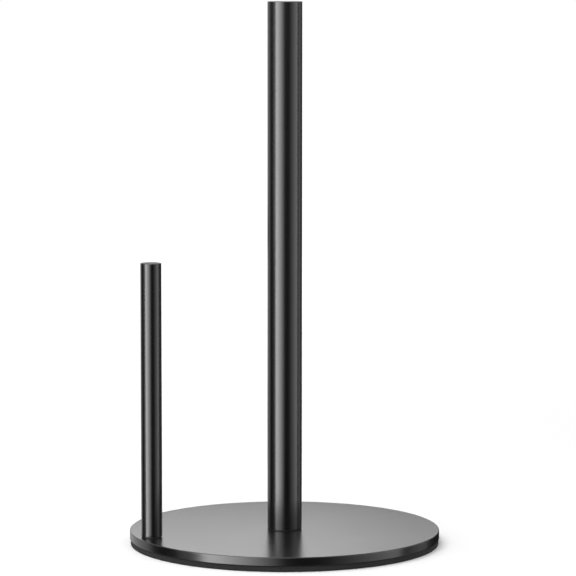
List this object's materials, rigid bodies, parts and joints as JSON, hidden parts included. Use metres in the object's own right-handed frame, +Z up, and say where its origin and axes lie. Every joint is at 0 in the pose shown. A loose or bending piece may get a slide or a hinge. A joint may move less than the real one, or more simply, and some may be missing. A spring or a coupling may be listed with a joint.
{
  "type": "paper towel holder",
  "caption": "Free-standing paper towel holder: a round weighted base on a non-slip pad, a tall centre pole for the roll and a short tear bar beside it.",
  "frame": {"origin": "centre of the pad's underside, on the pole's axis", "axes": "+Z up along the pole, the tear bar stands on the -X side, and Y = 0 is the plane of symmetry"},
  "size_m": [0.18, 0.18, 0.3143],
  "materials": {
    "satin_black_coat": "satin black powder coat",
    "foam_rubber": "matt, fine grain",
    "adhesive_film": "double-sided film",
    "black_nylon": "moulded",
    "turned_steel": "turned, zinc plated"
  },
  "bodies": {
    "root": {"base_pad": "foam_rubber", "pad_adhesive": "adhesive_film", "base_plate": "satin_black_coat", "pole_tube": "satin_black_coat", "pole_cap": "satin_black_coat", "pole_foot_plug": "turned_steel", "pole_washer": "black_nylon", "pole_screw": "turned_steel", "tear_bar_tube": "satin_black_coat", "tear_bar_cap": "satin_black_coat", "tear_bar_foot_plug": "turned_steel", "tear_bar_washer": "black_nylon", "tear_bar_screw": "turned_steel"}
  },
  "joints": []
}
